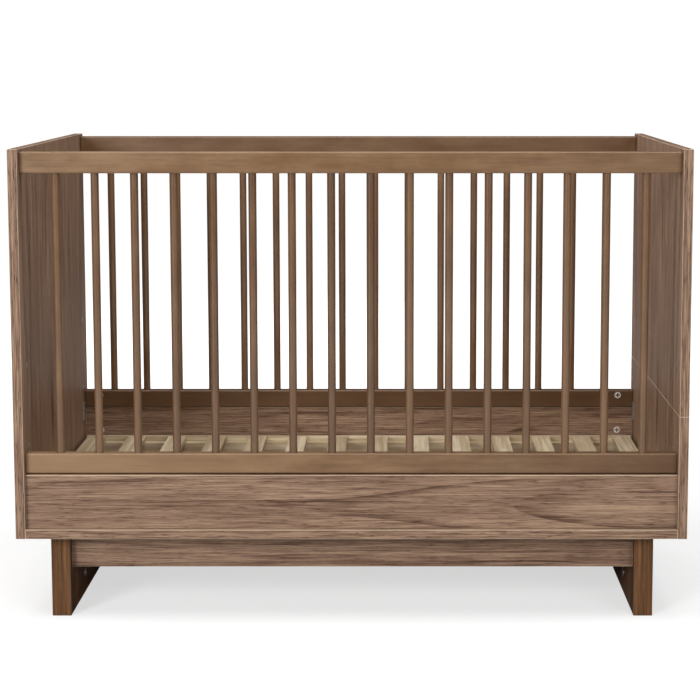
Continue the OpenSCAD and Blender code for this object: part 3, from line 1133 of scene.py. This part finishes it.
@dataclass
class Fittings:
    """The knock-down fittings: cams, screws, inserts, plates and bolts."""

    shop: Workshop
    proud: float = 0.15 * MM
    cam: CrossHead = CrossHead(0.6 * MM, 4.6 / 7.5, 2.21 * MM, 2.4 * MM, rings=16, segments=64)
    screw: CrossHead = CrossHead(0.2 * MM, 0.625, 0.9 * MM, 1.2 * MM)
    screw_head: float = 0.6 * MM
    screw_neck: float = 3 * MM
    screw_point: float = 4 * MM
    screw_share: float = 0.96
    insert_bore: float = 2.5 * MM
    insert_lip: float = 0.8 * MM
    insert_floor: float = 2 * MM
    plate_least: float = 20 * MM
    plate_ease: float = 0.5 * MM
    plate_screw: CrossHead = CrossHead(0.3 * MM, 0.6, 0.9 * MM, 1.2 * MM)
    plate_screw_radius: float = 3.5 * MM
    plate_screw_height: float = 1.5 * MM
    bolt_head: float = 2.5 * MM
    bolt_shank: float = 4 * MM
    bolt_socket: float = 3 * MM
    bolt_socket_depth: float = 2 * MM
    bolt_dome: float = 0.18
    dome_steps: int = 6

    def build(self) -> None:
        """Builds the visible fittings and dresses the ones inside the boards."""
        for name, node, shapes, finish, body in (
                ("cam_lock_set", "cam_locks", self.cams(), CAST_ZINC, ROOT_BODY),
                ("slat_screws_set", "slat_screws", self.screws("slat_screws"), PLATED_STEEL,
                 BASE_BODY),
                ("plinth_screws_set", "plinth_screws", self.screws("plinth_screws"),
                 PLATED_STEEL, ROOT_BODY),
                ("threaded_insert_set", "threaded_inserts", self.inserts(), PLATED_STEEL,
                 ROOT_BODY),
                ("corner_plate_set", "corner_plates", self.plates(), PLATED_STEEL, ROOT_BODY),
                ("leg_bolt_set", "leg_bolts", self.leg_bolts(), PLATED_STEEL, ROOT_BODY)):
            self.shop.place(name, Surface.join(shapes), finish, body, [node])
        for node in ("cam_bolts", "base_bolts"):
            self.shop.dress(node, PLATED_STEEL)
        self.shop.dress("dowel_pins", DOWEL_BEECH)
        log.info("fittings: dressed")

    def cams(self) -> list[Surface]:
        """The cam locks: die-cast discs with a cross recess in their mouths.

        Returns:
            Their shapes.
        """
        heads = []
        for low, high in solids_of("cam_locks"):
            centre, size = (low + high) / 2, high - low
            depth_axis = int(np.argmin(size))
            outward = np.zeros(3)
            outward[depth_axis] = -1 if depth_axis == 2 else -np.sign(centre[1])
            face = centre + outward * (size[depth_axis] / 2 + 2 * self.proud)
            heads.append(recessed_head(size.max() / 2, size[depth_axis], self.cam, face, outward))
        return heads

    def screws(self, node: str) -> list[Surface]:
        """Countersunk screws, each a cross-recessed head over its cone, shank and point.

        Args:
            node: The CAD node that holds the screws.

        Returns:
            Their shapes.
        """
        shapes = []
        for low, high in solids_of(node):
            top = np.array([(low[0] + high[0]) / 2, (low[1] + high[1]) / 2, high[2]])
            radius, length = (high[0] - low[0]) / 2, high[2] - low[2]
            shank, head = radius / 2, radius * self.screw_share
            runs = straight((-length, 0.0), (self.screw_point - length, shank),
                            (-self.screw_neck, shank), (-self.screw_head, head))
            shapes.append(turned(runs, top, UP, self.screw.segments))
            shapes.append(recessed_head(head, self.screw_head, self.screw, top + UP * self.proud,
                                        UP))
        return shapes

    def inserts(self) -> list[Surface]:
        """The threaded inserts: flush rings with a countersunk, open bore.

        Returns:
            Their shapes.
        """
        shapes = []
        for low, high in solids_of("threaded_inserts"):
            centre, length = (low + high) / 2, high[0] - low[0]
            inward = -np.sign(centre[0]) * RIGHT
            mouth = centre + inward * length / 2
            outer, inner, lip = (high[2] - low[2]) / 2, self.insert_bore, self.insert_lip
            floor = self.insert_floor - length
            runs = straight((-length, 0.0), (-length, outer), (0.0, outer), (0.0, inner + lip),
                            (-lip, inner), (floor, inner), (floor, 0.0))
            shapes.append(turned(runs, mouth, inward, segments=32))
        return shapes

    def plates(self) -> list[Surface]:
        """The corner plates, each with its screw's head a little proud.

        Returns:
            Their shapes.
        """
        shapes = []
        for low, high in solids_of("corner_plates"):
            centre, size = (low + high) / 2, high - low
            inward = -np.sign(centre[0]) * RIGHT
            if size[2] > self.plate_least:
                shapes.append(eased_box(low, high, self.plate_ease))
                face = centre + inward * (size[0] / 2 + self.proud)
                shapes.append(recessed_head(self.plate_screw_radius, self.plate_screw_height,
                                            self.plate_screw, face, inward))
        return shapes

    def leg_bolts(self) -> list[Surface]:
        """The leg bolts: low domed heads on both faces, over the shank between them.

        Half of a head's height is a straight wall, and a quarter ellipse rises from it.

        Returns:
            Their shapes.
        """
        shapes = []
        turn = np.linspace(0, math.pi / 2, self.dome_steps)
        for low, high in solids_of("leg_bolts"):
            centre, end = (low + high) / 2, (high[0] - low[0]) / 2
            radius = (high[2] - low[2]) / 2
            under, wall = end - self.bolt_head, end - self.bolt_head / 2
            floor = end - self.bolt_socket_depth
            rise = wall + self.bolt_head / 2 * np.sin(turn)
            spread = radius * (1 - self.bolt_dome + self.bolt_dome * np.cos(turn))
            dome = list(zip(rise, spread))
            half = [*straight((0.0, self.bolt_shank), (under, self.bolt_shank), (under, radius),
                              (wall, radius)),
                    dome,
                    *straight(dome[-1], (end, self.bolt_socket), (floor, self.bolt_socket),
                              (floor, 0.0))]
            for direction in (-1.0, 1.0):
                shapes.append(turned(half, centre, direction * RIGHT, segments=36))
        return shapes


# ---------------------------------------------------------------- the studio


@dataclass(frozen=True)
class Lamp:
    """A square soft light: its place, aim, side in metres and power in watts.

    glossy says whether it shows in reflections.
    """

    name: str
    at: Point
    aim: Point
    size: float
    power: float
    glossy: bool


@dataclass
class Studio:
    """A white floor that runs out of sight, soft lights and the camera."""

    floor_half: float = 30.0
    # a weaker glow near the crib is painted shade on the floor; full glow far away
    floor_glow_and_shade: tuple[float, float] = (0.62, 1.0)
    glow_and_shade_reach: tuple[float, float] = (1.2, 3.0)
    sky_light: float = 0.05
    sky_seen: float = 1.1
    lamps: tuple[Lamp, ...] = (
        Lamp("key_softbox", (-3.0, -4.9, 2.2), (0.0, 0.0, 0.45), 1.6, 180.0, True),
        Lamp("fill_softbox", (2.8, -4.4, 2.0), (0.0, 0.0, 0.45), 2.2, 74.0, True),
        Lamp("top_softbox", (0.0, -0.7, 3.2), (0.0, 0.0, 0.0), 2.4, 64.0, True),
        Lamp("left_softbox", (-3.6, -0.2, 2.0), (0.0, 0.0, 0.6), 1.8, 34.0, False),
        Lamp("right_softbox", (3.6, -0.2, 2.0), (0.0, 0.0, 0.6), 1.8, 34.0, False),
        Lamp("back_softbox", (-0.8, 3.6, 2.0), (0.0, 0.0, 0.45), 2.4, 46.0, False))
    camera_at: Point = (0.0863, -3.6207, 1.0583)
    pitch: float = math.radians(6.296)
    lens: float = 92.19
    shift: tuple[float, float] = (-0.068, -0.135)

    def build(self) -> None:
        """Builds the floor, the sky, the lights and the camera."""
        self.floor()
        self.sky()
        for lamp in self.lamps:
            self.light(lamp)
        self.camera()
        bpy.context.scene.view_settings.view_transform = "Standard"
        log.info("studio: floor, %d lights and camera", len(self.lamps))

    def floor(self) -> None:
        """A matt white sweep whose glow, seen only by the camera, is weaker near the crib, a
        painted shade round it, and rises to plain white further away.
        """
        h = self.floor_half
        mesh = bpy.data.meshes.new("studio_floor")
        mesh.from_pydata([(-h, -h, 0), (h, -h, 0), (h, h, 0), (-h, h, 0)], [], [(0, 1, 2, 3)])
        floor = in_scene("studio_floor", mesh)
        material, tree, shader = start_material("matt_white_sweep")
        shader.inputs["Base Color"].default_value = linear("#bcbcbc")
        shader.inputs["Roughness"].default_value = 0.9
        shader.inputs["Specular IOR Level"].default_value = 0.1
        shader.inputs["Emission Color"].default_value = linear("#ffffff")
        seen = add(tree, "LightPath", out="Is Camera Ray")
        place = add(tree, "TexCoord", out="Object")
        away = add(tree, "VectorMath.LENGTH", place, out="Value")
        # glow weaker near the crib: painted shade on the floor round it
        glow_and_shade = add(tree, "MapRange", away, *self.glow_and_shade_reach, *self.floor_glow_and_shade,
                   interpolation_type="SMOOTHSTEP")
        tree.links.new(add(tree, "Math.MULTIPLY", seen, glow_and_shade), shader.inputs["Emission Strength"])
        mesh.materials.append(material)

    def sky(self) -> None:
        """A white surround: plain white to the eye, and a weaker light on the crib."""
        world = bpy.data.worlds.new("white_surround")
        bpy.context.scene.world = world
        world.use_nodes = True
        tree = world.node_tree
        ground = tree.nodes["Background"]
        seen = add(tree, "Math.MULTIPLY", add(tree, "LightPath", out="Is Camera Ray"),
                   self.sky_seen)
        tree.links.new(add(tree, "Math.MAXIMUM", seen, self.sky_light),
                       ground.inputs["Strength"])
        ground.inputs["Color"].default_value = (1, 1, 1, 1)

    def light(self, lamp: Lamp) -> None:
        """Hangs a lamp, out of the camera's sight.

        Args:
            lamp: The lamp.
        """
        data = bpy.data.lights.new(lamp.name, "AREA")
        data.size, data.energy = lamp.size, lamp.power
        light = in_scene(lamp.name, data)
        turn = Matrix(axis_frame(np.array(lamp.at) - np.array(lamp.aim)).T.tolist())
        light.matrix_world = Matrix.Translation(lamp.at) @ turn.to_4x4()
        light.visible_camera = False
        light.visible_glossy = lamp.glossy

    def camera(self) -> None:
        """The camera, a little above the top rails and right of the middle."""
        data = bpy.data.cameras.new("camera")
        data.lens = self.lens
        data.shift_x, data.shift_y = self.shift
        camera = in_scene("camera", data)
        camera.location = self.camera_at
        camera.rotation_euler = (math.pi / 2 - self.pitch, 0, 0)
        bpy.context.scene.camera = camera


def main() -> None:
    """Builds the crib and the studio in order, and reports each piece."""
    logging.basicConfig(level=logging.INFO, format="%(name)s: %(message)s")
    shop = Workshop()
    Carcass(shop).build()
    SpindleSide(shop, "front").build()
    # the back rails' darker tones are painted shade
    SpindleSide(shop, "back", top_tone_and_shade=(-0.65, -0.75), bottom_tone_and_shade=(-0.9, -1.0)).build()
    Plinth(shop).build()
    MattressBase(shop).build()
    Fittings(shop).build()
    Studio().build()
    for piece in shop.pieces:
        log.info("%s: %d faces", piece.name, len(piece.data.polygons))


if __name__ == "__main__":
    main()
